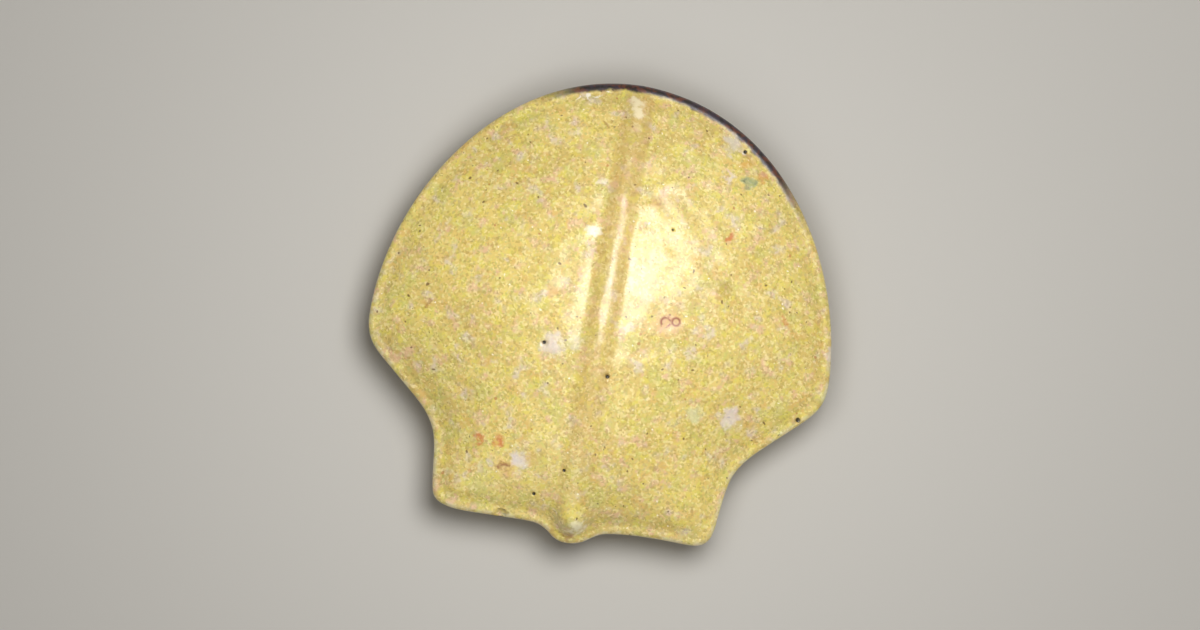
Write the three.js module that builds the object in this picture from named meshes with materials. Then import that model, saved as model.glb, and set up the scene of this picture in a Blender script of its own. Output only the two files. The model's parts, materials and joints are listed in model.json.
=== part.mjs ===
// Brachiopod fossil: a whole smooth shell with both valves shut, lying on its lower valve.
// Millimetres, +Z up. +Y runs from the beak to the front margin, +X to the right along the hinge.
// The origin is on the resting face, under the middle of the shell's width and length.
import * as THREE from "three";
import { mergeGeometries, mergeVertices } from "three/addons/utils/BufferGeometryUtils.js";

const { clamp, lerp, smoothstep } = THREE.MathUtils;

// Driving dimensions
const width = 46.6; // from side to side, at the widest part of the disc
const length = 46.4; // from the tip of the beak to the front margin
const seamHeight = 5.2; // of the seam between the valves, above the resting face
const upperRise = 6.2; // of the upper valve's dome, above its brim
const lowerRise = 5.1; // of the lower valve's bulge, below its brim, before its worn face
const hingeSetback = 1.7; // of the straight hinge line, in front of the beak's tip

const halfWidth = width / 2;
const halfLength = length / 2;
const hingeY = hingeSetback - halfLength;

// Median fold: a low rounded rib from the beak to the front margin, between two shallow furrows
const fold = {
  startX: -0.3, // of its middle line at the beak
  bend: 0.00045, // how fast that line curves to the right, towards the front
  ribHeight: 0.42,
  ribHalfWidth: 1.2,
  furrowDepth: 0.12,
  furrowOffset: 1.75, // from the middle line to each furrow
  furrowHalfWidth: 0.5,
  faintEndY: -17, // towards the beak the fold is worn almost away
  fullFromY: 1,
  faintShare: 0.4,
};
// The fold's front end turns up a little before it meets the brim
const foldEnd = { rise: 0.3, y: 21.3, halfWidth: 1.1, halfLength: 1 };

// The lower valve's groove under the fold, and the small wave of the seam between them
const sulcus = { depth: 0.7, halfWidth: 3.2, startY: 6, fullFromY: 20 };
const seamWave = { height: 0.5, halfWidth: 2 };

// Umbo, the swelling behind the hinge, and the knob of the beak at its tip
const umbo = { rise: 0.7, middleY: -16, halfWidth: 5.5, halfLength: 5 };
const knob = { rise: 1.2, x: -0.35, y: hingeY, radius: 1.9 };

// Rolled edge of a valve, from the groove of the seam outwards and over: [in from the margin, off the seam]
const rolledEdge = [
  [0.3, 0],
  [0.02, 0.2],
  [0, 0.6],
  [0.3, 0.98],
  [0.62, 1.03],
  [1, 0.95],
  [1.6, 0.93],
  [2.4, 0.93],
];
const swellStart = 0.5; // from the margin to where a valve begins to swell
const [brimWidth, brimLip] = rolledEdge.at(-1); // the brim ends where the valve swells in full

// Squared window in the middle of each valve, with columns along the fold and rows across it.
// Round it the surface runs in rings, parallel to the window inside and to the margin outside.
const sideColumns = 18; // on each side of the fold's middle line
const foldColumns = 5; // of these, the close ones beside the line
const foldReach = 2.3; // from the line to where the fold has died away
const rows = 24;
const windowBackY = -13;
const windowFrontY = 12;
const windowHalfWidth = 10.5; // at its back and front
const windowBelly = 5.5; // wider halfway along
const windowArch = 3.5; // how far its front side bows forward
const upperRings = [0.75, 0.5, 0.25]; // shares of the way from the window to the brim
const lowerRings = [0.67, 0.33];

// Where the margin goes round the window's corners: in the notches beside the ears, and at the front
const notch = { right: [15.2, -13.3], left: [-15.3, -13.2] };
const shoulder = { right: [15.4, 17], left: [-15.4, 16.6] };

// Right side of the margin seen from above, from the tip of the beak to the middle of the front
function rightMargin() {
  const side = new THREE.Path();
  side.moveTo(-0.45, -halfLength);
  // Beak, and the hinge line beside it
  side.quadraticCurveTo(0.9, -halfLength, 1.9, -22.35);
  side.quadraticCurveTo(2.7, -21.72, 3.4, hingeY - 0.14);
  side.quadraticCurveTo(5.8, hingeY + 0.04, 8.1, hingeY + 0.04);
  side.quadraticCurveTo(10.2, hingeY - 0.05, 12.1, hingeY - 0.2);
  // Ear: its corner, its slightly hollow side and the notch in front of it
  side.quadraticCurveTo(13.9, hingeY - 0.15, 14.1, -19.6);
  side.quadraticCurveTo(14.35, -17.2, 14.7, -15.1);
  side.quadraticCurveTo(15.25, -13, 17.4, -11.25);
  // Shoulder, a straight slope out to the disc, and the disc's round front
  side.lineTo(21.5, -7.65);
  side.quadraticCurveTo(halfWidth, -6.1, halfWidth, -4.1);
  side.bezierCurveTo(halfWidth, 8.7, 14.8, halfLength, 0, halfLength);
  return side;
}

// Left side, which in nature is never quite the right one's mirror image
function leftMargin() {
  const side = new THREE.Path();
  side.moveTo(-0.45, -halfLength);
  side.quadraticCurveTo(-1.6, -halfLength, -2.3, -22.4);
  side.quadraticCurveTo(-3.1, -21.6, -4, hingeY);
  side.lineTo(-11.6, hingeY + 0.04);
  side.quadraticCurveTo(-14.3, -21.25, -14.55, -19.9);
  side.lineTo(-14.95, -15.3);
  side.quadraticCurveTo(-15.2, -12.8, -17.6, -10.8);
  side.lineTo(-21.7, -7.1);
  side.quadraticCurveTo(-23.2, -5.8, -halfWidth, -3.8);
  side.bezierCurveTo(-halfWidth, 9.3, -13.2, halfLength, 0, halfLength);
  return side;
}

const fineStep = 0.12;

function finePoints(side) {
  return side.getSpacedPoints(Math.round(side.getLength() / fineStep));
}
const rightPoints = finePoints(rightMargin());
const leftPoints = finePoints(leftMargin());
const marginPoints = [...rightPoints.slice(1), ...leftPoints.slice(0, -1)];

// Middle line of the fold
function foldX(y) {
  return fold.startX + fold.bend * (y - hingeY) ** 2;
}

// Divides a stretch of the margin into steps, shorter at corners and across the fold.
// Each step is named by the number of its last fine point.
function dividedStretch(points, from, to, count) {
  const turnLength = 1.6; // of margin that one radian of turning counts for
  const foldCrowding = 2.4;
  const reaches = [0];
  for (let i = from + 1; i <= to; i++) {
    const before = points[i].clone().sub(points[i - 1]);
    const after = points[Math.min(i + 1, points.length - 1)].clone().sub(points[i]);
    const turn = after.length() > 0 ? Math.abs(before.angleTo(after)) : 0;
    const crowding = Math.abs(points[i].x - foldX(points[i].y)) < foldReach ? foldCrowding : 1;
    reaches.push(reaches.at(-1) + before.length() * crowding + turn * turnLength);
  }
  const steps = Array.from({ length: count }, (_, n) => ((n + 1) / count) * reaches.at(-1));
  return steps.map((goal) => from + reaches.findIndex((reach) => reach >= goal));
}

function nearestPoint(points, [x, y]) {
  const distances = points.map((p) => Math.hypot(p.x - x, p.y - y));
  return distances.indexOf(Math.min(...distances));
}

// Spokes of one side, from the beak to the front. Each joins a point of the window to one of the margin.
function spokesOf(points, sign, notchPlace, shoulderPlace) {
  const notchAt = nearestPoint(points, notchPlace);
  const shoulderAt = nearestPoint(points, shoulderPlace);
  const places = [
    0,
    ...dividedStretch(points, 0, notchAt, sideColumns),
    ...dividedStretch(points, notchAt, shoulderAt, rows),
    ...dividedStretch(points, shoulderAt, points.length - 1, sideColumns),
  ];
  return places.map((i, n) => {
    const ahead = points[Math.min(i + 1, points.length - 1)];
    const along = ahead.clone().sub(points[Math.max(i - 1, 0)]).normalize();
    const column = sign * Math.min(n, sideColumns, places.length - 1 - n);
    const heart = windowPlace(column, clamp(n - sideColumns, 0, rows));
    const inward = heart.clone().sub(points[i]).normalize();
    return { margin: points[i], heart, inward, slant: Math.abs(inward.cross(along)) };
  });
}

// A point of the window. Columns keep their spacing across the fold, then spread evenly to its side.
function windowPlace(column, row) {
  const side = Math.abs(column);
  const share = row / rows;
  const arch = windowArch * share * (1 - (side / sideColumns) ** 2);
  const y = lerp(windowBackY, windowFrontY, share) + arch;
  const reach = windowHalfWidth + windowBelly * Math.sin(Math.PI * share);
  const spread = (side - foldColumns) / (sideColumns - foldColumns);
  const offset = spread > 0 ? lerp(foldReach, reach, spread) : (foldReach * side) / foldColumns;
  return new THREE.Vector2(foldX(y) + Math.sign(column) * offset, y);
}

// Bell-shaped curve, 1 at 0 and about a third at its half width
function bell(distance, halfWidth) {
  return Math.exp(-((distance / halfWidth) ** 2));
}

// Swelling of a thin closed shell inside its margin: 0 at the margin, 1 in the middle, low in the
// narrow ears. It is worked out from how near a place is to the whole margin.
function nearness(x, y) {
  return marginPoints.reduce((sum, q) => sum + 1 / Math.hypot(q.x - x, q.y - y) ** 3, 0);
}
const middleNearness = nearness(0, 0);

function swelling(x, y) {
  return Math.sqrt(middleNearness / nearness(x, y));
}

function foldRelief(x, y) {
  const across = x - foldX(y);
  const rib = fold.ribHeight * bell(across, fold.ribHalfWidth);
  const furrows =
    bell(across - fold.furrowOffset, fold.furrowHalfWidth) +
    bell(across + fold.furrowOffset, fold.furrowHalfWidth);
  const share = lerp(fold.faintShare, 1, smoothstep(y, fold.faintEndY, fold.fullFromY));
  const end = foldEnd.rise * bell(across, foldEnd.halfWidth) * bell(y - foldEnd.y, foldEnd.halfLength);
  return share * (rib - fold.furrowDepth * furrows) + end;
}

// Height of the upper valve. Its fullness is 0 on the rolled edge and 1 from the brim's inner side on.
function upperHeight({ x, y }, lip, fullness) {
  const dome = upperRise * swelling(x, y);
  const swell = umbo.rise * bell(x, umbo.halfWidth) * bell(y - umbo.middleY, umbo.halfLength);
  const beak = knob.rise * bell(Math.hypot(x - knob.x, y - knob.y), knob.radius);
  return seamHeight + lip + fullness * (dome + swell + beak + foldRelief(x, y));
}

// Height of the lower valve, whose lowest part is worn to a flat face at 0
function lowerHeight({ x, y }, lip, fullness) {
  const wornEdge = 0.25; // how softly the worn face begins
  const front = smoothstep(y, sulcus.startY, sulcus.fullFromY);
  const groove = sulcus.depth * front * bell(x - foldX(y), sulcus.halfWidth);
  const height = seamHeight - lip - fullness * (lowerRise * swelling(x, y) - groove);
  return height > 0 ? height ** 2 / (height + wornEdge) : 0;
}

// A ring on the rolled edge, and one between the brim and the window. Each gives a spoke's point on it.
function edgeRing(heightOf, [inset, lip]) {
  const fullness = smoothstep(inset, swellStart, brimWidth);
  return ({ margin, inward, slant }) => {
    const place = margin.clone().addScaledVector(inward, inset / slant);
    const wave = margin.y > 0 ? seamWave.height * bell(margin.x - foldX(margin.y), seamWave.halfWidth) : 0;
    const height = heightOf(place, lip, fullness) + wave * (1 - fullness);
    return [place.x, place.y, height];
  };
}

function valveRing(heightOf, share) {
  return ({ margin, heart, inward, slant }) => {
    const brim = margin.clone().addScaledVector(inward, brimWidth / slant);
    const place = heart.clone().lerp(brim, share);
    return [place.x, place.y, heightOf(place, brimLip, 1)];
  };
}

// Moves a flat grid of points to a window. A mirrored grid, for the lower valve, faces down.
function windowGeometry(heightOf, sign) {
  const grid = new THREE.PlaneGeometry(1, 1, 2 * sideColumns, rows);
  const points = grid.getAttribute("position");
  for (let i = 0; i < points.count; i++) {
    const column = (i % (2 * sideColumns + 1)) - sideColumns;
    const row = rows - Math.floor(i / (2 * sideColumns + 1));
    const place = windowPlace(sign * column, row);
    points.setXYZ(i, place.x, place.y, heightOf(place, brimLip, 1));
  }
  return grid;
}

// Moves a band turned on the lathe to the rings between the windows, out round the margin.
// Its points run along its profile, one spoke after another, and the last spoke is the first again.
function bandGeometry() {
  const right = spokesOf(rightPoints, 1, notch.right, shoulder.right);
  const left = spokesOf(leftPoints, -1, notch.left, shoulder.left);
  const spokes = [...right, ...left.slice(1, -1).toReversed()];
  const rings = [
    ...[...lowerRings, 0].toReversed().map((share) => valveRing(lowerHeight, share)),
    ...rolledEdge.slice(1).toReversed().map((step) => edgeRing(lowerHeight, step)),
    ...rolledEdge.map((step) => edgeRing(upperHeight, step)),
    ...[...upperRings, 0].map((share) => valveRing(upperHeight, share)),
  ];
  const profile = rings.map((_, j) => new THREE.Vector2(1, j));
  const band = new THREE.LatheGeometry(profile, spokes.length);
  const points = band.getAttribute("position");
  for (let i = 0; i < points.count; i++) {
    const spoke = spokes[Math.floor(i / rings.length) % spokes.length];
    points.setXYZ(i, ...rings[i % rings.length](spoke));
  }
  return band;
}

// The band and the two windows, joined where their edge points meet
function shellGeometry() {
  const joinWithin = 1e-4;
  const parts = [bandGeometry(), windowGeometry(upperHeight, 1), windowGeometry(lowerHeight, -1)];
  parts.forEach((part) => part.deleteAttribute("normal").deleteAttribute("uv"));
  const shell = mergeVertices(mergeGeometries(parts), joinWithin);
  shell.computeVertexNormals();
  return shell;
}

// Cream-yellow calcite with a natural gloss
const calcite = new THREE.MeshStandardMaterial({ color: 0xe1cb80, roughness: 0.35, metalness: 0 });

const shell = new THREE.Mesh(shellGeometry(), calcite);
shell.name = "brachiopod_fossil";

const fossil = new THREE.Group();
fossil.add(shell);

export default fossil;
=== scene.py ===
# %% [markdown]
# # Brachiopod fossil
# A brachiopod is a sea animal with two shells, called valves, that shut on each other. This one has
# turned to cream-yellow calcite with both valves shut. It is about 47 mm across and 13 mm thick, it
# lies on its lower valve, and a low fold runs over it from the beak to the front margin.
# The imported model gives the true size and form. This script lays the real surface over it: rounded
# lips, faint growth lines, pinholes, mottled stone and a natural gloss.

# %% Load the frame
import json
import math

import bpy
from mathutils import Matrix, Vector
from mathutils.kdtree import KDTree

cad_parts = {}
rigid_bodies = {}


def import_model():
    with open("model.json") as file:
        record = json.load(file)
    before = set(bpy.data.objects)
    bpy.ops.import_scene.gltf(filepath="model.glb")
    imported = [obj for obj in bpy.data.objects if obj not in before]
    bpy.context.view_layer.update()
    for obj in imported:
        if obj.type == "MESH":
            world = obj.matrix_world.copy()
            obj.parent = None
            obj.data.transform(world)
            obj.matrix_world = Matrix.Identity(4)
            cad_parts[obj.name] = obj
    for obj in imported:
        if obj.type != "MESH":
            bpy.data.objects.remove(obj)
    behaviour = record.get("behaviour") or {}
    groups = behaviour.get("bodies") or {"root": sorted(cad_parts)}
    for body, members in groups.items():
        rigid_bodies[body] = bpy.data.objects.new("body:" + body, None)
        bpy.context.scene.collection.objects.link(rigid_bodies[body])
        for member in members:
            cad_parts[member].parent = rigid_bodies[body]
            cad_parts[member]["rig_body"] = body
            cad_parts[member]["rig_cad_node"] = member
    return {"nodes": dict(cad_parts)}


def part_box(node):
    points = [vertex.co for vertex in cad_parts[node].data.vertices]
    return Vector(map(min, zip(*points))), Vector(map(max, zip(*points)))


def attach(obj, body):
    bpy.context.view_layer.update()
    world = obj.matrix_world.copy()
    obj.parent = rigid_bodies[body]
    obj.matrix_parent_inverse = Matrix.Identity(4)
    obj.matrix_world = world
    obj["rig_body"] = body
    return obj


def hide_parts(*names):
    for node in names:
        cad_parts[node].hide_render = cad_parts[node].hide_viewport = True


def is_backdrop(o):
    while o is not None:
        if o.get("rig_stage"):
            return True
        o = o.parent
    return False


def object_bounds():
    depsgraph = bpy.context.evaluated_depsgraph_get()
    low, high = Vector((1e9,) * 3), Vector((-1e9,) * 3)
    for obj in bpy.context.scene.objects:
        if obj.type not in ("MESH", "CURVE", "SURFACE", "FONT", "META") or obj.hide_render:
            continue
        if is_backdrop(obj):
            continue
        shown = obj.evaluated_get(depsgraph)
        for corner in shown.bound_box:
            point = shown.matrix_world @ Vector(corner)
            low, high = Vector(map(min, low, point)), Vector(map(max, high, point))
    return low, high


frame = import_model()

solid_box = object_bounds()
solid = frame["nodes"]["brachiopod_fossil"]
low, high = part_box("brachiopod_fossil")
print("box of the solid in mm:", [round(c * 1000, 2) for c in (*low, *high)])

# %% [markdown]
# ## Measures
# Blender works in metres, and a fossil is thought of in millimetres, so lengths are written in
# millimetres times `MM`. A few places on the shell are needed again and again. The seam lies between
# the valves, and the fold follows a line that bends slightly to the right on its way to the front.

# %% Measures
MM = 0.001
SEAM_HEIGHT = 5.2 * MM
HINGE_Y = -21.5 * MM
FRONT_Y = high.y
FOLD_START_X = -0.3 * MM
FOLD_BEND = 0.45  # how fast the fold's line curves to the right, per metre


def fold_x(y):
    """Where the middle of the fold is, at this distance along the shell."""
    return FOLD_START_X + FOLD_BEND * (y - HINGE_Y) ** 2


print("the fold ends at x =", round(fold_x(FRONT_Y) / MM, 2), "mm")

# %% [markdown]
# ## A copy of the solid to work on
# The real shell is a smooth skin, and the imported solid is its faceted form. A sculptor could model
# the skin anew, but it would never sit on the solid exactly. So the solid is copied, its loose
# triangles are merged, and pairs of them are joined to the squares that they came from. Squares in
# even rows are what a subdivision surface rounds best.

# %% Copy, merge and make squares
bpy.ops.object.select_all(action="DESELECT")
bpy.context.view_layer.objects.active = solid
solid.select_set(True)
bpy.ops.object.duplicate()
shell = bpy.context.view_layer.objects.active
bpy.ops.object.parent_clear(type="CLEAR_KEEP_TRANSFORM")
del shell["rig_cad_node"]
del shell["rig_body"]
shell.name = shell.data.name = "fossil_shell"

bpy.ops.object.mode_set(mode="EDIT")
bpy.ops.mesh.select_all(action="SELECT")
bpy.ops.mesh.customdata_custom_splitnormals_clear()
bpy.ops.mesh.remove_doubles(threshold=0.001 * MM)
# any two triangles may be joined, whatever their angle, and even rows are preferred
bpy.ops.mesh.tris_convert_to_quads(
    face_threshold=math.pi, shape_threshold=math.pi, topology_influence=2)
bpy.ops.object.mode_set(mode="OBJECT")
print("merged to", len(shell.data.vertices), "corners and", len(shell.data.polygons), "faces")

# %% [markdown]
# ## The seam
# Where the two valves meet, a fine groove runs all round the shell. In it lies the dirt that never
# washes out, so the groove has to be known by name later on. By hand one clicks one edge of the groove
# and asks for its whole loop, and that is what happens here. The loop is kept as a vertex group.

# %% Mark the seam's loop
def choose(mode, picked):
    """Selects the vertices, edges or faces with these numbers, and nothing else."""
    bpy.ops.object.mode_set(mode="EDIT")
    bpy.ops.mesh.select_mode(type=mode)
    bpy.ops.mesh.select_all(action="DESELECT")
    bpy.ops.object.mode_set(mode="OBJECT")
    mesh = shell.data
    kinds = {"VERT": mesh.vertices, "EDGE": mesh.edges, "FACE": mesh.polygons}
    for number in picked:
        kinds[mode][number].select = True
    bpy.ops.object.mode_set(mode="EDIT")


def off_the_seam(edge):
    """How far an edge is above or below the seam. Of those in it, the one furthest right is least."""
    ends = [shell.data.vertices[v].co for v in edge.vertices]
    return sum(abs(end.z - SEAM_HEIGHT) for end in ends) - ends[0].x - ends[1].x


clicked = min(shell.data.edges, key=off_the_seam)
choose("EDGE", [clicked.index])
bpy.ops.mesh.loop_multi_select(ring=False)
bpy.ops.object.mode_set(mode="OBJECT")
seam = shell.vertex_groups.new(name="seam")
seam.add([v.index for v in shell.data.vertices if v.select], 1.0, "REPLACE")
print("the seam's loop has", sum(v.select for v in shell.data.vertices), "corners")

# %% [markdown]
# ## Rounding
# Calcite that has lain in the sea and in a hand has no flat facets. Smooth shading alone would hide
# the facets but leave them in the outline. A Subdivision Surface cuts every square into four, twice,
# and rounds them, and because the rows are close at the lips and the fold, both keep their form.

# %% Round the skin
ROUNDING_STEPS = 2


def finish_with(kind, **settings):
    """Adds a modifier to the shell, sets it up and applies it."""
    bpy.ops.object.modifier_add(type=kind)
    modifier = shell.modifiers[-1]
    for name, value in settings.items():
        setattr(modifier, name, value)
    bpy.ops.object.modifier_apply(modifier=modifier.name)


finish_with("SUBSURF", levels=ROUNDING_STEPS, render_levels=ROUNDING_STEPS)
bpy.ops.object.shade_smooth()
print("rounded to", len(shell.data.polygons), "faces")

# %% [markdown]
# ## How far from the margin
# Growth lines, the painted highlight on the rim and the painted shadow on the front edge all follow
# the margin of the shell, so each point of the skin has to know how far in from the margin it lies.
# The seam's loop is the margin seen from above. A tree of its points finds the nearest one for each
# vertex, quickly and exactly.

# %% Measure the distance from the seam
ALMOST_FULL = 0.99  # the rounding also gave the loop's neighbours a share of its weight


def weight_of(vertex, group):
    """The weight that a vertex has in a vertex group."""
    return next((g.weight for g in vertex.groups if g.group == group.index), 0.0)


seam = shell.vertex_groups["seam"]
loop_points = [v.co for v in shell.data.vertices if weight_of(v, seam) > ALMOST_FULL]
margin_tree = KDTree(len(loop_points))
for number, point in enumerate(loop_points):
    margin_tree.insert((point.x, point.y, 0), number)
margin_tree.balance()


def from_margin(place):
    """How far this place lies in from the seam, seen from above."""
    return margin_tree.find((place.x, place.y, 0))[2]


reach = [from_margin(v.co) for v in shell.data.vertices]
print("the deepest place is", round(max(reach) / MM, 1), "mm in from the seam")

# %% [markdown]
# ## The worn brim
# On a fresh shell each valve ends in a rolled brim. Here it is worn into the dome on the left and at
# the front, and still stands out a little along the hinge and by the right shoulder. The solid has the
# brim all round, at one strength. A Smooth modifier wears it down where a vertex group says so, and as
# it moves the skin up and down only, the outline stays as it is.

# %% Wear down the brim
BRIM_REACH = 4.5 * MM  # how far in from the seam the wear goes
LIP_HEIGHT = 0.4 * MM  # above the seam, where the wear begins
FRESH_SHARE = 0.6  # of the wear, where the brim still stands
WEAR_STEPS = 45
# each pair runs from where the brim is worn to where it still stands
FRESH_AT_HINGE = (-18 * MM, -20 * MM)  # along the shell
FRESH_OFF_BEAK = (1.5 * MM, 4.5 * MM)  # to either side of the beak
FRESH_ON_RIGHT = (12 * MM, 18 * MM)  # across the shell
FRESH_AT_SHOULDER = (0, -4 * MM)  # along the shell


def rise(value, start, full):
    """0 up to start, 1 from full on, and a straight rise or fall between them."""
    return max(0.0, min(1.0, (value - start) / (full - start)))


def wear_weight(vertex, distance):
    """1 where the brim is worn away, less at the hinge and on the right, 0 on the open dome."""
    above_lip = rise(vertex.co.z - SEAM_HEIGHT, LIP_HEIGHT, 2 * LIP_HEIGHT)
    near_brim = rise(distance, BRIM_REACH, BRIM_REACH * 2 / 3)
    # the beak lies where the fold starts
    off_beak = rise(abs(vertex.co.x - FOLD_START_X), *FRESH_OFF_BEAK)
    at_hinge = rise(vertex.co.y, *FRESH_AT_HINGE) * off_beak
    at_right = rise(vertex.co.x, *FRESH_ON_RIGHT) * rise(vertex.co.y, *FRESH_AT_SHOULDER)
    fresh = max(at_hinge, at_right)
    return above_lip * near_brim * (1 - fresh * (1 - FRESH_SHARE))


worn = shell.vertex_groups.new(name="worn_brim")
for vertex, distance in zip(shell.data.vertices, reach):
    worn.add([vertex.index], wear_weight(vertex, distance), "REPLACE")
finish_with("SMOOTH", vertex_group="worn_brim", factor=0.5, iterations=WEAR_STEPS,
            use_x=False, use_y=False)
print("brim worn over", BRIM_REACH / MM, "mm")

# %% [markdown]
# ## Growth lines
# A valve grows at its margin, a little each season, and each pause leaves a line that runs parallel
# to the margin. Here they are worn almost smooth above and show more on the lower valve. They could
# be drawn by a bump texture, but then the light would never catch their edges from the side. So a
# vertex group says how deep each line lies, and a Displace modifier sinks the skin there.

# %% Sink the growth lines
GROWTH_STEP = 2.3 * MM
GROWTH_DEPTH = 0.05 * MM
CROWDING = 0.8  # 1 would space the lines evenly, and less crowds them towards the margin
LINE_NARROWNESS = 3  # the higher, the narrower each line is against the step
WORN_ABOVE = 0.3  # share of the depth that is left on the upper valve
EDGE_KEPT = 1.6 * MM  # the lips keep their form this far in


def growth_weight(vertex, distance):
    """1 at the bottom of a growth line on the lower valve, and 0 between lines."""
    turns = (distance / GROWTH_STEP) ** CROWDING * 2 * math.pi
    line = (0.5 + 0.5 * math.cos(turns)) ** LINE_NARROWNESS
    share = WORN_ABOVE if vertex.co.z > SEAM_HEIGHT else 1.0
    return line * share * rise(distance, EDGE_KEPT, 2 * EDGE_KEPT)


growth = shell.vertex_groups.new(name="growth_lines")
for vertex, distance in zip(shell.data.vertices, reach):
    growth.add([vertex.index], growth_weight(vertex, distance), "REPLACE")
finish_with("DISPLACE", vertex_group="growth_lines", mid_level=0, strength=-GROWTH_DEPTH)
print("growth lines sunk by up to", GROWTH_DEPTH / MM, "mm")

# %% [markdown]
# ## Unevenness
# A polished ball gives a perfectly round reflection, and a fossil never does: its skin swells and
# sinks by about a tenth of a millimetre. A Displace modifier with a soft clouds texture makes that.
# It only pushes inwards, so the shell stays within its size, and it leaves the lips and the worn face
# that the shell rests on as they are.

# %% Make the skin uneven
SWELL_SIZE = 2.6 * MM
SWELL_DEPTH = 0.24 * MM
RESTING_HEIGHT = 0.15 * MM  # up to here the skin belongs to the worn face


def open_weight(vertex, distance):
    """1 on the open skin, 0 on the lips and on the face that the shell rests on."""
    above_rest = rise(vertex.co.z, RESTING_HEIGHT, 3 * RESTING_HEIGHT)
    return above_rest * rise(distance, EDGE_KEPT, 2 * EDGE_KEPT)


swells = bpy.data.textures.new("soft_swells", "CLOUDS")
swells.noise_scale = SWELL_SIZE
swells.noise_depth = 1
open_skin = shell.vertex_groups.new(name="open_skin")
for vertex, distance in zip(shell.data.vertices, reach):
    open_skin.add([vertex.index], open_weight(vertex, distance), "REPLACE")
finish_with("DISPLACE", texture=swells, texture_coords="LOCAL", vertex_group="open_skin",
            mid_level=1, strength=SWELL_DEPTH)
print("skin sunk by up to", SWELL_DEPTH / MM, "mm")

# %% [markdown]
# ## Pinholes
# A few black pinholes, a quarter to half a millimetre wide, are bored into the upper valve by sponges
# and worms. The skin's squares are about as large as the holes, so the faces round each hole are cut
# finer first. Then the vertex in the middle is pushed down, and soft falloff takes its neighbours
# along, as proportional editing does by hand.

# %% Bore the pinholes
# place seen from above, and radius, in mm
PINHOLES = {
    "hole_by_right_shoulder": ((20.7, -7.65), 0.26),
    "hole_left_of_beak": ((-4.35, -18.65), 0.18),
    "hole_behind_beak": ((-1.7, -15.85), 0.17),
    "hole_on_fold": ((1.2, -6.0), 0.21),
    "hole_in_pale_patch": ((-5.45, -3.55), 0.2),
    "hole_by_front_margin": ((11.6, 18.1), 0.2),
    "hole_in_highlight": ((5.5, 9.25), 0.12),
}
HOLE_DEPTH = 1.6  # times its radius
HOLE_FALLOFF = 1.25  # times its radius
HOLE_COLLAR = 0.15 * MM  # cut finer round a hole, past its edge
FINER_CUTS = 3


def nearest_on_top(place):
    """The upper valve's vertex nearest to a place in mm, seen from above."""
    middle = Vector(place) * MM
    upper = (v for v in shell.data.vertices if v.co.z > SEAM_HEIGHT)
    return min(upper, key=lambda v: (v.co.xy - middle).length_squared)


def cut_finer(middle, radius, cuts):
    """Cuts the faces round a point of the skin finer."""
    near = [p.index for p in shell.data.polygons if (p.center - middle).length < radius]
    choose("FACE", near)
    bpy.ops.mesh.subdivide(number_cuts=cuts)
    bpy.ops.object.mode_set(mode="OBJECT")


def push(vertex, offset, radius, falloff="SPHERE"):
    """Moves a vertex, and its neighbours softly with it."""
    choose("VERT", [vertex.index])
    bpy.ops.transform.translate(
        value=offset, use_proportional_edit=True, proportional_size=radius,
        proportional_edit_falloff=falloff)
    bpy.ops.object.mode_set(mode="OBJECT")


for place, radius in PINHOLES.values():
    cut_finer(nearest_on_top(place).co.copy(), radius * MM + HOLE_COLLAR, FINER_CUTS)
    push(nearest_on_top(place), (0, 0, -HOLE_DEPTH * radius * MM), HOLE_FALLOFF * radius * MM)
print(len(PINHOLES), "pinholes bored,", len(shell.data.polygons), "faces in all")

# %% [markdown]
# ## The beak's bump
# Wearing down the brim also flattened the beak, which is the oldest and thickest part of the shell.
# The same soft push, now upwards and wider, gives its round bump back.

# %% Raise the beak
BEAK_PLACE = (-0.1, -21.0)  # seen from above, in mm
BEAK_LIFT = 0.35 * MM
BEAK_RADIUS = 2.2 * MM
push(nearest_on_top(BEAK_PLACE), (0, 0, BEAK_LIFT), BEAK_RADIUS, "SMOOTH")
print("the beak is raised by", BEAK_LIFT / MM, "mm")

# %% [markdown]
# ## The stalk's hole and a chip
# In life the animal held on to a rock by a stalk, which came out through a small hole under the
# beak. The photo looks down on the shell and doesn't show it, so this one is shallow and filled with
# dirt. The hinge line has a small chip to the left of the beak, which the photo does show. Both are
# dents in the edge, so the same push makes them, forwards for the hole and also down for the chip.

# %% Press in the stalk's hole and the chip
STALK_HOLE = Vector((-0.35, -23.1, 4.75)) * MM
STALK_HOLE_RADIUS = 0.6 * MM
HINGE_CHIP = Vector((-7.24, -21.3, 6.1)) * MM
CHIP_RADIUS = 0.6 * MM
DENT_REACH = 1.2  # times its radius, cut finer round a dent


def dent(point, offset, radius):
    """Presses a dent into the edge. The offset is given as a multiple of the radius."""
    def nearest():
        return min(shell.data.vertices, key=lambda v: (v.co - point).length_squared)
    cut_finer(nearest().co.copy(), radius * DENT_REACH, 1)
    push(nearest(), Vector(offset) * radius, radius)


dent(STALK_HOLE, (0, 1.4, 0), STALK_HOLE_RADIUS)
dent(HINGE_CHIP, (0, 0.6, -0.6), CHIP_RADIUS)
print("the stalk's hole and the chip are in,", len(shell.data.polygons), "faces in all")

# %% [markdown]
# ## What the stone follows
# Some colours on the shell follow its form: a band of dirt and painted shade lies along the fold, and
# a painted highlight lines the rim. A material can only know that from data on the mesh, so each
# vertex is given two numbers as attributes: how far it lies from the margin, and how far to the side
# of the fold.

# %% Write what the stone follows
def write_attribute(name, values):
    attribute = shell.data.attributes.new(name, "FLOAT", "POINT")
    attribute.data.foreach_set("value", values)
    print(name, "runs from", round(min(values) / MM, 2), "to", round(max(values) / MM, 2), "mm")


write_attribute("from_margin", [from_margin(v.co) for v in shell.data.vertices])
write_attribute("beside_fold", [v.co.x - fold_x(v.co.y) for v in shell.data.vertices])

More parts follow.
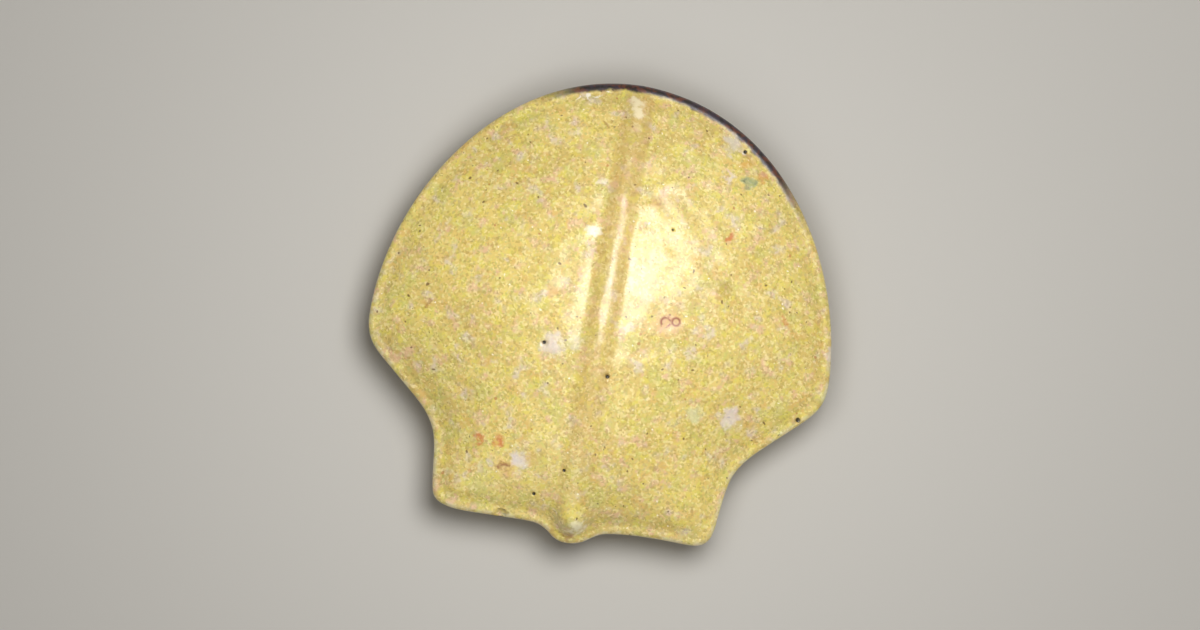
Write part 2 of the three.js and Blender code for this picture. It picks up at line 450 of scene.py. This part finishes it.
# %% [markdown]
# ## The stone's recipe
# The calcite is cream-yellow, but seen close it is a mixture: soft clouds of greenish, ochre, rose
# and lilac, a fine grain, and dark and pale specks. A painted image would only fit one side of the
# shell. Noise runs through the whole body, as the colours of a real stone do, so it fits everywhere.
# The material starts as one shader. A helper adds the nodes in front of it, and another turns a
# colour as an image editor shows it into light.

# %% Start the stone's material
stone = bpy.data.materials.new("mottled_calcite")
stone.use_nodes = True
tree = stone.node_tree
finish = tree.nodes["Principled BSDF"]


def put(kind, inputs, **settings):
    """Adds a shader node. Each input is given a value, or another node's output to follow."""
    node = tree.nodes.new("ShaderNode" + kind)
    for name, value in settings.items():
        setattr(node, name, value)
    for socket, value in inputs.items():
        if isinstance(value, bpy.types.NodeSocket):
            tree.links.new(value, node.inputs[socket])
        else:
            node.inputs[socket].default_value = value
    return node


def colour(red, green, blue):
    """A colour as an image editor shows it, from 0 to 255, made ready for a shader."""
    shares = [c / 255 for c in (red, green, blue)]
    return (*[s / 12.92 if s <= 0.04045 else ((s + 0.055) / 1.055) ** 2.4 for s in shares], 1)


print("the stone starts as", finish.bl_label)

# %% [markdown]
# ## Noise and masks
# Object coordinates are places in the shell itself, so a pattern stays in the stone however the shell
# is turned. Noise is endless, and a seed picks the stretch of it that a pattern uses, so no two
# patterns share their lumps. A ramp turns noise into a mask, and a tint lays a colour over another
# where a mask says so. That is what a painter does with thin glazes, one over the other.

# %% Helpers for noise, masks and tints
SEED_STEP = 50 * MM
where = put("TexCoord", {}).outputs["Object"]


def place_for(seed):
    """The place in the shell, moved to a stretch of noise that only this seed uses."""
    return put("VectorMath", {0: where, 1: (seed * SEED_STEP,) * 3}, operation="ADD").outputs[0]


def ramp(value, start, full):
    """0 up to start, 1 from full on, and a soft rise or fall between them."""
    inputs = {"Value": value, "From Min": start, "From Max": full}
    return put("MapRange", inputs, interpolation_type="SMOOTHSTEP").outputs["Result"]


def reckon(operation, first, second=0.0):
    return put("Math", {0: first, 1: second}, operation=operation).outputs[0]


def noise(size, seed, detail=2.0, output="Fac"):
    """Soft noise round 0.5, with lumps of about this size."""
    inputs = {"Vector": place_for(seed), "Scale": 1 / size, "Detail": detail}
    return put("TexNoise", inputs).outputs[output]


def tint(below, above, mask, strength=1.0):
    """Lays a colour over another where the mask says so, this strongly."""
    share = reckon("MULTIPLY", mask, strength)
    mix = put("Mix", {"Factor": share, 6: below, 7: above}, data_type="RGBA")
    return mix.outputs[2]


print(len(tree.nodes), "nodes so far")

# %% [markdown]
# ## Ground and clouds
# The ground colour wanders slowly between a duller and a sunnier cream. Over it lie clouds 0.7 to
# 2.4 millimetres wide, where a little iron, clay or organic matter came in while the shell turned
# to stone. Each cloud colour has noise of its own, so they overlap freely and give colours that
# nobody named.

# %% Ground colour and clouds
DULL = colour(210, 182, 102)
SUNNY = colour(226, 200, 113)
GROUND_SIZE = 9 * MM  # how wide the duller and the sunnier stretches are
# colour, size, seed of the noise, where the clouds start and where they are full, and strength
CLOUDS = {
    "greenish": (colour(196, 194, 100), 2.4 * MM, 2, 0.50, 0.68, 0.55),
    "ochre": (colour(218, 172, 98), 1.9 * MM, 3, 0.52, 0.70, 0.55),
    "rose": (colour(224, 182, 146), 1.3 * MM, 4, 0.53, 0.70, 0.80),
    "lilac": (colour(214, 198, 182), 1.7 * MM, 5, 0.57, 0.73, 0.7),
    "lemon": (colour(224, 208, 92), 1.0 * MM, 6, 0.50, 0.66, 0.65),
    "khaki": (colour(180, 164, 94), 0.7 * MM, 7, 0.54, 0.70, 0.45),
}
skin = tint(DULL, SUNNY, ramp(noise(GROUND_SIZE, 1), 0.35, 0.65))
for shade, size, seed, start, full, strength in CLOUDS.values():
    skin = tint(skin, shade, ramp(noise(size, seed), start, full), strength)
print("clouds:", ", ".join(CLOUDS))

# %% [markdown]
# ## Grains
# Calcite is made of crystals, and here they are a fifth of a millimetre across, some paler, some
# darker and some greener than the rest. Voronoi noise parts space into cells, each with a chance
# colour of its own, which is just what grains are. The three parts of that colour serve as three
# separate chances. The cells have straight sides, though, so the places are first bent by noise.

# %% Grains of calcite
GRAIN_SIZE = 0.22 * MM
GRAIN_BEND = 1.5  # times the grain's size
# colour, which of the three chances decides, the chance that it starts at, and strength
GRAIN_COLOURS = {
    "pale": (colour(248, 233, 172), 0, 0.5, 0.5),
    "dark": (colour(158, 132, 62), 1, 0.55, 0.45),
    "green": (colour(192, 206, 104), 2, 0.65, 0.25),
}


def bent_place(size, bend, seed, detail=1.0):
    """The place in the shell, pushed about by noise of this size, up to about half of bend."""
    shift = put("VectorMath", {0: noise(size, seed, detail, "Color"), 1: (-0.5,) * 3},
                operation="ADD").outputs[0]
    shift = put("VectorMath", {0: shift, "Scale": bend}, operation="SCALE").outputs[0]
    return put("VectorMath", {0: place_for(seed), 1: shift}, operation="ADD").outputs[0]


def grains(size, seed):
    """Grains of about this size: how far a place is from its grain's middle, and three chances."""
    vector = bent_place(size * 2, GRAIN_BEND * size, seed)
    cells = put("TexVoronoi", {"Vector": vector, "Scale": 1 / size})
    chances = put("SeparateColor", {"Color": cells.outputs["Color"]})
    return cells.outputs["Distance"], chances.outputs


_, chances = grains(GRAIN_SIZE, 11)
for shade, which, start, strength in GRAIN_COLOURS.values():
    skin = tint(skin, shade, ramp(chances[which], start, 1.0), strength)
print(", ".join(GRAIN_COLOURS), "grains of", round(GRAIN_SIZE / MM, 2), "mm")

# %% [markdown]
# ## Specks and flecks
# Over the grain lie small dark specks of iron and manganese and small pale flecks of clear calcite.
# They are far apart and differ in size. Cells of Voronoi noise serve again, but now each cell holds
# at most one speck in its middle, and its chance says how large that is, or that there is none.

# %% Specks and flecks
# cell size, seed, share of cells that stay empty, largest radius as a share of the cell,
# colour and strength
SPECKS = {
    "dark specks": (0.9 * MM, 21, 0.35, 0.17, colour(108, 80, 38), 0.8),
    "rusty specks": (1.9 * MM, 22, 0.55, 0.13, colour(176, 98, 48), 0.60),
    "black specks": (3.4 * MM, 23, 0.60, 0.06, colour(54, 40, 26), 0.85),
    "pale flecks": (0.8 * MM, 24, 0.5, 0.15, colour(255, 250, 224), 0.75),
}
SPECK_EDGE = 0.05  # how soft a speck's edge is, as a share of its cell
for cell, seed, empty, largest, shade, strength in SPECKS.values():
    off_middle, chances = grains(cell, seed)
    radius = reckon("MULTIPLY", ramp(chances[0], empty, 1.0), largest)
    speck = ramp(reckon("SUBTRACT", radius, off_middle), 0.0, SPECK_EDGE)
    skin = tint(skin, shade, speck, strength)
print(", ".join(SPECKS))

# %% [markdown]
# ## Marks in their places
# Some marks are this fossil's own: rusty spots by the left ear, pale and lilac patches, a sea-green
# patch near the front. Noise could never put them where they belong, so each is a soft round spot at
# a named place. The places are bent by noise before the distance is taken, which makes the spots
# ragged. They lie in the upper valve only, so a mask keeps them off the lower one.

# %% Places for the marks
MARK_LUMPS = 0.9 * MM
MARK_BEND = 2.4 * MM
MARK_SOFTNESS = 0.55  # how wide its border is, as a share of its radius to each side
ON_THE_GROUND = (1, 1, 0)  # times a place, this leaves the place seen from above


def seen_from_above(vector):
    """The same place with its height left out."""
    return put("VectorMath", {0: vector, 1: ON_THE_GROUND}, operation="MULTIPLY").outputs[0]


sharp_place = seen_from_above(where)
# seed 0 bends the places but leaves them where they are in the shell
ragged_place = seen_from_above(bent_place(MARK_LUMPS, MARK_BEND, 0, 3.0))
across, along, height = put("SeparateXYZ", {"Vector": where}).outputs
on_top = ramp(height, SEAM_HEIGHT, SEAM_HEIGHT + 0.5 * MM)


def spot(place, radius, softness=MARK_SOFTNESS, vector=ragged_place):
    """A mask that is 1 inside a round spot on the upper valve, given in mm, and 0 away from it."""
    middle = (place[0] * MM, place[1] * MM, 0)
    off = put("VectorMath", {0: vector, 1: middle}, operation="DISTANCE").outputs["Value"]
    inside = ramp(off, radius * (1 + softness) * MM, radius * (1 - softness) * MM)
    return reckon("MULTIPLY", inside, on_top)


print("marks are ragged by up to", MARK_BEND / 2 / MM, "mm")

# %% [markdown]
# ## The marks
# The rusty spots are iron that came in through cracks and the pale patches are clearer calcite. The
# near-white spots on the fold's end, along the front lip, beside the fold, on the beak and by the
# front pinhole are painted highlights, and the dark spot in the hinge chip is painted shade. A brush
# in texture paint mode would do for one picture, but a table does better: each mark has a name, a real
# place and a real size, and one can be moved or left out without touching the rest. A later mark lies
# over an earlier one, so a patch or a halo comes before the dots inside it.

# %% Lay the marks
RUST = colour(204, 100, 52)
BROWN = colour(146, 92, 42)
AMBER = colour(222, 164, 74)
ROSE = colour(226, 164, 134)
PALE = colour(226, 214, 218)
SEA_GREEN = colour(118, 146, 120)
BLUE_GREEN = colour(206, 212, 172)
DARK = colour(44, 32, 22)
# painted highlight colours: white and cream glints
HIGHLIGHT_WHITE = colour(255, 250, 236)
HIGHLIGHT_CREAM = colour(255, 246, 204)
# place seen from above and radius in mm, colour and strength
MARKS = {
    "lilac_patch_by_ear": ((-6.35, -15.5), 0.85, PALE, 0.65),
    "pale_patch": ((-4.7, -3.6), 1.1, PALE, 0.6),
    "pale_patch_end": ((-2.4, -3.3), 0.7, PALE, 0.3),
    "pale_patch_right": ((13.85, -8.4), 0.9, PALE, 0.6),
    "pale_patch_front": ((10.4, 15.1), 0.5, PALE, 0.45),
    "pale_patch_edge": ((23.0, -0.6), 0.6, PALE, 0.5),
    "lilac_patch_front": ((10.3, 18.8), 0.8, PALE, 0.5),
    "blue_green_patch": ((10.2, -8.4), 0.8, BLUE_GREEN, 0.5),
    "amber_halo": ((-7.6, -16.3), 0.8, AMBER, 0.4),
    "amber_patch": ((-5.0, -15.1), 0.8, AMBER, 0.35),
    "amber_above_green": ((11.9, 16.9), 0.6, AMBER, 0.5),
    "tan_patch": ((11.3, 4.3), 0.7, BROWN, 0.32),
    "rusty_spot": ((-8.5, -13.95), 0.62, RUST, 0.75),
    "rusty_dot": ((-10.5, -13.9), 0.42, RUST, 0.7),
    "faint_rust": ((-10.8, -17.4), 0.4, RUST, 0.3),
    "rust_by_green": ((13.7, 15.9), 0.45, RUST, 0.45),
    "orange_dot": ((11.3, 9.2), 0.45, RUST, 0.7),
    "orange_dot_right": ((17.9, 1.9), 0.38, RUST, 0.45),
    "rose_dot": ((-5.5, 1.5), 0.6, RUST, 0.28),
    "brown_dot": ((-7.75, -16.4), 0.42, BROWN, 0.85),
    "brown_fleck_left": ((-17.4, -1.25), 0.4, BROWN, 0.5),
    "brown_fleck_front": ((-2.45, 18.8), 0.3, BROWN, 0.5),
    "sea_green_patch": ((12.4, 15.1), 0.6, SEA_GREEN, 0.65),
    "sea_green_core": ((12.3, 14.95), 0.22, DARK, 0.5),
    # painted highlight: a white glint by the front pinhole
    "white_glint": ((11.3, 18.2), 0.22, HIGHLIGHT_WHITE, 0.9),
    # painted highlights: the glint on the fold's front end
    "fold_end_highlight": ((0.15, 21.3), 0.6, HIGHLIGHT_CREAM, 0.95),
    "fold_side_highlight": ((0.4, 20.3), 0.55, HIGHLIGHT_CREAM, 0.95),
    "fold_fleck_highlight": ((0.6, 18.8), 0.35, HIGHLIGHT_CREAM, 0.25),
    # painted highlights: glints along the front lip
    "front_lip_glint": ((-2.9, 21.75), 0.24, HIGHLIGHT_WHITE, 0.8),
    "front_lip_glint_2": ((-3.7, 21.6), 0.2, HIGHLIGHT_WHITE, 0.6),
    "front_lip_glint_3": ((-4.55, 21.45), 0.22, HIGHLIGHT_WHITE, 0.7),
    "front_lip_glint_4": ((-6.0, 21.2), 0.2, HIGHLIGHT_WHITE, 0.6),
    # painted highlights beside the fold, part of the wide highlight
    "highlight_beside_fold": ((-2.25, 8.0), 0.55, HIGHLIGHT_WHITE, 0.5),
    "highlight_beside_fold_2": ((-2.2, 13.0), 0.4, HIGHLIGHT_WHITE, 0.35),
    # painted highlight: the glint on the beak's bump
    "beak_highlight": ((0.3, -21.2), 0.7, HIGHLIGHT_CREAM, 0.8),
    "brown_beak_tip": ((-0.4, -22.6), 0.5, BROWN, 0.5),
    # painted shade in the hinge chip
    "shade_in_chip": ((-7.2, -21.3), 0.3, DARK, 0.75),
}
for place, radius, shade, strength in MARKS.values():
    skin = tint(skin, shade, spot(place, radius), strength)
print(len(MARKS), "marks")

# %% [markdown]
# ## Rings
# Three small brown rings look like the scars of tiny animals that once sat on the shell. A ring is a
# spot with a smaller spot taken out of it. Noise breaks two of them to open arcs, and all three lie
# on a faint blush.

# %% Draw the rings
# place seen from above and radius in mm, how much of the ring is broken away, and strength
RINGS = {
    "ring_left": ((6.1, 0.15), 0.46, 0.5, 1.0),
    "ring_right": ((7.1, 0.3), 0.38, 0.1, 0.9),
    "ring_front": ((3.7, 11.8), 0.3, 0.52, 0.3),
}
RING_WIDTH = 0.22  # in mm, as in the table
RING_SOFTNESS = 0.25
RING_CRUMBS = 0.5 * MM
BREAK_SOFTNESS = 0.15
RING_BROWN = colour(144, 68, 26)
BLUSH_RADIUS = 2.6  # times the ring's
BLUSH_STRENGTH = 0.2
crumbling = noise(RING_CRUMBS, 32)
for place, radius, broken, strength in RINGS.values():
    skin = tint(skin, ROSE, spot(place, radius * BLUSH_RADIUS), BLUSH_STRENGTH)
    outer = spot(place, radius + RING_WIDTH / 2, RING_SOFTNESS, sharp_place)
    inner = spot(place, radius - RING_WIDTH / 2, RING_SOFTNESS, sharp_place)
    kept = ramp(crumbling, broken - BREAK_SOFTNESS, broken)
    ring = reckon("MULTIPLY", reckon("SUBTRACT", outer, inner), kept)
    skin = tint(skin, RING_BROWN, ring, strength)
print("rings:", ", ".join(RINGS))

# %% [markdown]
# ## Painted shade and dirt in the holes and along the fold
# The pinholes are almost black inside, which is painted shade, with a yellow-brown halo round each.
# The stalk's hole holds dirt. A duller brown band on the fold, fading towards the beak, is partly dirt
# and partly painted shade of the fold's flanks. The pinholes use the places without any bending, so
# the black stays inside its hole. The band follows the number that the mesh carries.

# %% Darken the pinholes and the fold
# painted shade: the near-black at the bottom of each pinhole
HOLE_SHADE_BLACK = colour(18, 12, 8)
HOLE_BROWN = colour(84, 58, 32)
HOLE_BLACKENED = 0.9  # times the hole's radius
HOLE_SOFTNESS = 0.25
HOLE_SHADE_STRENGTH = 0.97
BROWN_STRENGTH = 0.9
HALO = colour(164, 128, 54)
HALO_RADIUS = 2  # times the hole's
HALO_STRENGTH = 0.3
# the fold's band: partly brown dirt, partly painted shade of the fold's flanks
FOLD_DIRT_AND_SHADE = colour(186, 146, 90)
FOLD_STRENGTH = 0.32
FOLD_HALF_WIDTH = 1.5 * MM
FOLD_FADE = (-26 * MM, 2 * MM)  # along the shell, from no band to the full band
beside = put("Attribute", {}, attribute_name="beside_fold").outputs["Fac"]
band = ramp(reckon("ABSOLUTE", beside), FOLD_HALF_WIDTH * 1.25, FOLD_HALF_WIDTH * 0.75)
band = reckon("MULTIPLY", band, reckon("MULTIPLY", on_top, ramp(along, *FOLD_FADE)))
skin = tint(skin, FOLD_DIRT_AND_SHADE, band, FOLD_STRENGTH)
for place, radius in PINHOLES.values():
    skin = tint(skin, HALO, spot(place, radius * HALO_RADIUS), HALO_STRENGTH)
    # painted shade inside the hole
    black = spot(place, radius * HOLE_BLACKENED, HOLE_SOFTNESS, sharp_place)
    skin = tint(skin, HOLE_SHADE_BLACK, black, HOLE_SHADE_STRENGTH)
inside_stalk_hole = STALK_HOLE + Vector((0, STALK_HOLE_RADIUS, 0))
off_stalk = put("VectorMath", {0: where, 1: inside_stalk_hole}, operation="DISTANCE")
in_stalk_hole = ramp(off_stalk.outputs["Value"], STALK_HOLE_RADIUS * 1.25, STALK_HOLE_RADIUS)
skin = tint(skin, HOLE_BROWN, in_stalk_hole, BROWN_STRENGTH)
print("the dull band is", 2 * FOLD_HALF_WIDTH / MM, "mm wide")

# %% [markdown]
# ## The rim's painted highlight and the seam
# At the very edge a pale painted highlight lies along the brim, but only in places, and only on the
# half of the shell towards the hinge. Just under that edge the seam groove holds brown dirt. Both
# follow the distance from the margin that was written on the mesh, and noise breaks them up, because
# an even line would look drawn.

# %% Paint a highlight on the rim and fill the seam with dirt
# painted highlight: the pale glint colour along the brim
RIM_HIGHLIGHT = colour(232, 226, 190)
RIM_HIGHLIGHT_STRENGTH = 0.55
RIM_WIDTH = 0.4 * MM
RIM_PATCH_SIZE = 1.2 * MM
RIM_FADE = (4 * MM, -4 * MM)  # along the shell, from no rim to the full rim
SEAM_DIRT = colour(96, 68, 36)
SEAM_STRENGTH = 0.8
SEAM_HALF_HEIGHT = 0.3 * MM
SEAM_PATCH_SIZE = 2 * MM
SEAM_DEPTH = (1.2 * MM, 0.8 * MM)  # in from the margin, from no dirt to full dirt
margin = put("Attribute", {}, attribute_name="from_margin").outputs["Fac"]
in_patches = ramp(noise(RIM_PATCH_SIZE, 41), 0.4, 0.7)
rim = reckon("MULTIPLY", ramp(margin, RIM_WIDTH * 1.5, RIM_WIDTH * 0.5), in_patches)
rim = reckon("MULTIPLY", rim, ramp(along, *RIM_FADE))
# lays the painted highlight along the rim
skin = tint(skin, RIM_HIGHLIGHT, rim, RIM_HIGHLIGHT_STRENGTH)
off_seam = reckon("ABSOLUTE", reckon("SUBTRACT", height, SEAM_HEIGHT))
in_seam = reckon("MULTIPLY", ramp(off_seam, SEAM_HALF_HEIGHT, SEAM_HALF_HEIGHT * 0.2),
                 ramp(margin, *SEAM_DEPTH))
in_seam = reckon("MULTIPLY", in_seam, ramp(noise(SEAM_PATCH_SIZE, 42, 3.0), 0.3, 0.55))
skin = tint(skin, SEAM_DIRT, in_seam, SEAM_STRENGTH)
print("the rim is", RIM_WIDTH / MM, "mm wide")

# %% [markdown]
# ## The painted shadow on the front edge
# From the left of the fold to the right of the disc, the front edge is painted dark purple and
# brown as painted shadow on its shadow side. Its inner border is ragged, it thins out at both ends,
# and inside it three dark colours mix.

# %% Paint the shadow on the front edge
# painted shadow: dark colours that stand in for the front edge's shadow side
SHADOW_PURPLE = colour(44, 32, 50)
SHADOW_BROWN = colour(92, 44, 30)
SHADOW_BLACK = colour(8, 6, 8)
SHADOW_STRENGTH = 0.98
SHADOW_WIDTH = 0.75 * MM
SHADOW_RAGS = 1.1 * MM  # how wide the rags of its border are
BROWN_SIZE = 0.8 * MM
BLACK_SIZE = 0.5 * MM
# the painted shadow fades out at its ends, across and along the shell
SHADOW_LEFT_END = (-11 * MM, -5 * MM)  # across the shell, from no stain to the full stain
SHADOW_RIGHT_END = (19.5 * MM, 15 * MM)
SHADOW_BACK_END = (0, 8 * MM)  # along the shell
rags = reckon("MULTIPLY", noise(SHADOW_RAGS, 51, 5.0), SHADOW_WIDTH)
ragged_margin = reckon("ADD", margin, rags)
painted_shadow = ramp(ragged_margin, SHADOW_WIDTH * 1.7, SHADOW_WIDTH * 1.15)
painted_shadow = reckon("MULTIPLY", painted_shadow, ramp(across, *SHADOW_LEFT_END))
painted_shadow = reckon("MULTIPLY", painted_shadow, ramp(across, *SHADOW_RIGHT_END))
painted_shadow = reckon("MULTIPLY", painted_shadow, ramp(along, *SHADOW_BACK_END))
shadow_colour = tint(SHADOW_PURPLE, SHADOW_BROWN, ramp(noise(BROWN_SIZE, 52), 0.45, 0.6))
shadow_colour = tint(shadow_colour, SHADOW_BLACK, ramp(noise(BLACK_SIZE, 53), 0.48, 0.6), 0.8)
# lays the painted shadow over the stone
skin = tint(skin, shadow_colour, painted_shadow, SHADOW_STRENGTH)
print("the stain reaches about", SHADOW_WIDTH / MM, "mm in")

# %% [markdown]
# ## Gloss
# The highlight is wide, soft and almost white, and small lumps break it up. The lumps are too fine for
# the mesh, so a Bump node leans the light on them instead, as if they stood a few hundredths of a
# millimetre proud. The stone itself is only half smooth, smoother in some patches than in others. The
# white comes from a thin clear layer of calcite that handling has polished, so the shader gets a coat.

# %% Set the gloss and connect the colour
BUMP_SIZE = 0.5 * MM
BUMP_HEIGHT = 0.03 * MM
SMOOTHEST = 0.34  # roughness of the stone under its coat
ROUGHEST = 0.5
COAT_WEIGHT = 0.75
COAT_ROUGHNESS = 0.22
PATCH_SIZE = 3 * MM
lumps = noise(BUMP_SIZE, 61, 3.0)
bump = put("Bump", {"Height": lumps, "Distance": BUMP_HEIGHT, "Strength": 1.0})
patches = noise(PATCH_SIZE, 62)
roughness = put("MapRange", {"Value": patches, "From Min": 0.3, "From Max": 0.7,
                             "To Min": SMOOTHEST, "To Max": ROUGHEST})
tree.links.new(bump.outputs["Normal"], finish.inputs["Normal"])
tree.links.new(roughness.outputs["Result"], finish.inputs["Roughness"])
finish.inputs["Coat Weight"].default_value = COAT_WEIGHT
finish.inputs["Coat Roughness"].default_value = COAT_ROUGHNESS
tree.links.new(skin, finish.inputs["Base Color"])
shell.data.materials.clear()
shell.data.materials.append(stone)
print("the stone's material has", len(tree.nodes), "nodes")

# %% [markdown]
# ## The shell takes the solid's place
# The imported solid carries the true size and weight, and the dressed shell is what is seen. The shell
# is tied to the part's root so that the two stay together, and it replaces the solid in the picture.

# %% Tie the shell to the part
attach(shell, "root")
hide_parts("brachiopod_fossil")
print(shell.name, "has", len(shell.data.polygons), "faces")

# %% [markdown]
# ## Floor
# A loose fossil is photographed lying on plain matt paper. The paper is pale but not white: white
# paper would throw so much light back up that the shell's dark margins would vanish.

# %% Lay the paper
PAPER_WIDTH = 2000 * MM
PAPER_COLOUR = (0.52, 0.5, 0.46, 1)
PAPER_ROUGHNESS = 0.9

bpy.ops.object.select_all(action="DESELECT")
bpy.ops.mesh.primitive_plane_add(size=PAPER_WIDTH, location=(0, 0, 0))
floor = bpy.context.view_layer.objects.active
floor.name = "paper_floor"
paper = bpy.data.materials.new("matt_paper")
paper.use_nodes = True
paper_finish = paper.node_tree.nodes["Principled BSDF"]
paper_finish.inputs["Base Color"].default_value = PAPER_COLOUR
paper_finish.inputs["Roughness"].default_value = PAPER_ROUGHNESS
floor.data.materials.append(paper)
floor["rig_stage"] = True
print("paper laid,", PAPER_WIDTH / MM, "mm wide")

# %% [markdown]
# ## Camera
# The photo looks straight down on the shell, which lies turned by eight degrees. A long lens from a
# third of a metre away draws it almost without perspective, as a product photo does. The shell stays
# square to its own axes, and the camera turns instead.

# %% Set up the camera
VIEW_TURN = math.radians(8.3)
VIEW_CENTRE = Vector((-0.4, -0.1, 5.8)) * MM
VIEW_DISTANCE = 350 * MM
LENS_LENGTH = 105  # the lens and the sensor are in millimetres, as on a real camera
SENSOR_WIDTH = 36
NEAREST_SEEN = 10 * MM

overhead = VIEW_CENTRE + Vector((0, 0, VIEW_DISTANCE))
bpy.ops.object.camera_add(location=overhead, rotation=(0, 0, VIEW_TURN))
camera = bpy.context.view_layer.objects.active
camera.name = "photo_camera"
camera.data.lens = LENS_LENGTH
camera.data.sensor_width = SENSOR_WIDTH
camera.data.clip_start = NEAREST_SEEN
bpy.context.scene.camera = camera
print("camera", round(camera.location.z / MM), "mm above the paper")

# %% [markdown]
# ## Light
# The photo tells where its lights were. The wide highlight right of the fold comes from a large soft
# one at the front right. The margins are darker than the middle, so a small one hung close above the
# shell. A weak one behind the beak lights the hinge. Disc-shaped area lights do all three, and the
# pale room round them fills the shadows. The lights themselves stay out of the picture.

# %% Hang the softboxes
# place, width and power
SOFTBOXES = {
    "close_softbox": (Vector((1, 2, 76)) * MM, 40 * MM, 0.025),
    "front_right_softbox": (Vector((71, 114, 340)) * MM, 200 * MM, 0.75),
    "back_softbox": (Vector((-60, -250, 310)) * MM, 200 * MM, 0.13),
}
ROOM_COLOUR = (1, 0.98, 0.95, 1)
ROOM_STRENGTH = 0.19


def hang_softbox(name, place, width, power):
    """Adds a round soft light that points at the middle of the shell."""
    facing = (place - VIEW_CENTRE).to_track_quat("Z", "Y").to_euler()
    bpy.ops.object.light_add(type="AREA", location=place, rotation=facing)
    softbox = bpy.context.view_layer.objects.active
    softbox.name = name
    softbox.visible_camera = False
    softbox.data.shape = "DISK"
    softbox.data.size = width
    softbox.data.energy = power


for name, (place, width, power) in SOFTBOXES.items():
    hang_softbox(name, place, width, power)
room = bpy.data.worlds.new("pale_room")
room.use_nodes = True
room.node_tree.nodes["Background"].inputs["Color"].default_value = ROOM_COLOUR
room.node_tree.nodes["Background"].inputs["Strength"].default_value = ROOM_STRENGTH
bpy.context.scene.world = room
bpy.context.scene.view_settings.view_transform = "Standard"
print("softboxes:", ", ".join(SOFTBOXES))

# %% [markdown]
# ## Sizes
# Rounding, wear and dents may only take stone away, so the dressed shell must be no larger than the
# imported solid. Both boxes are measured and kept.

# %% Keep the sizes
visual_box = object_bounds()
boxes = {"solid": solid_box, "visual": visual_box}
for name, (lowest, highest) in boxes.items():
    print(name, "is", [round((h - l) / MM, 2) for l, h in zip(lowest, highest)], "mm")
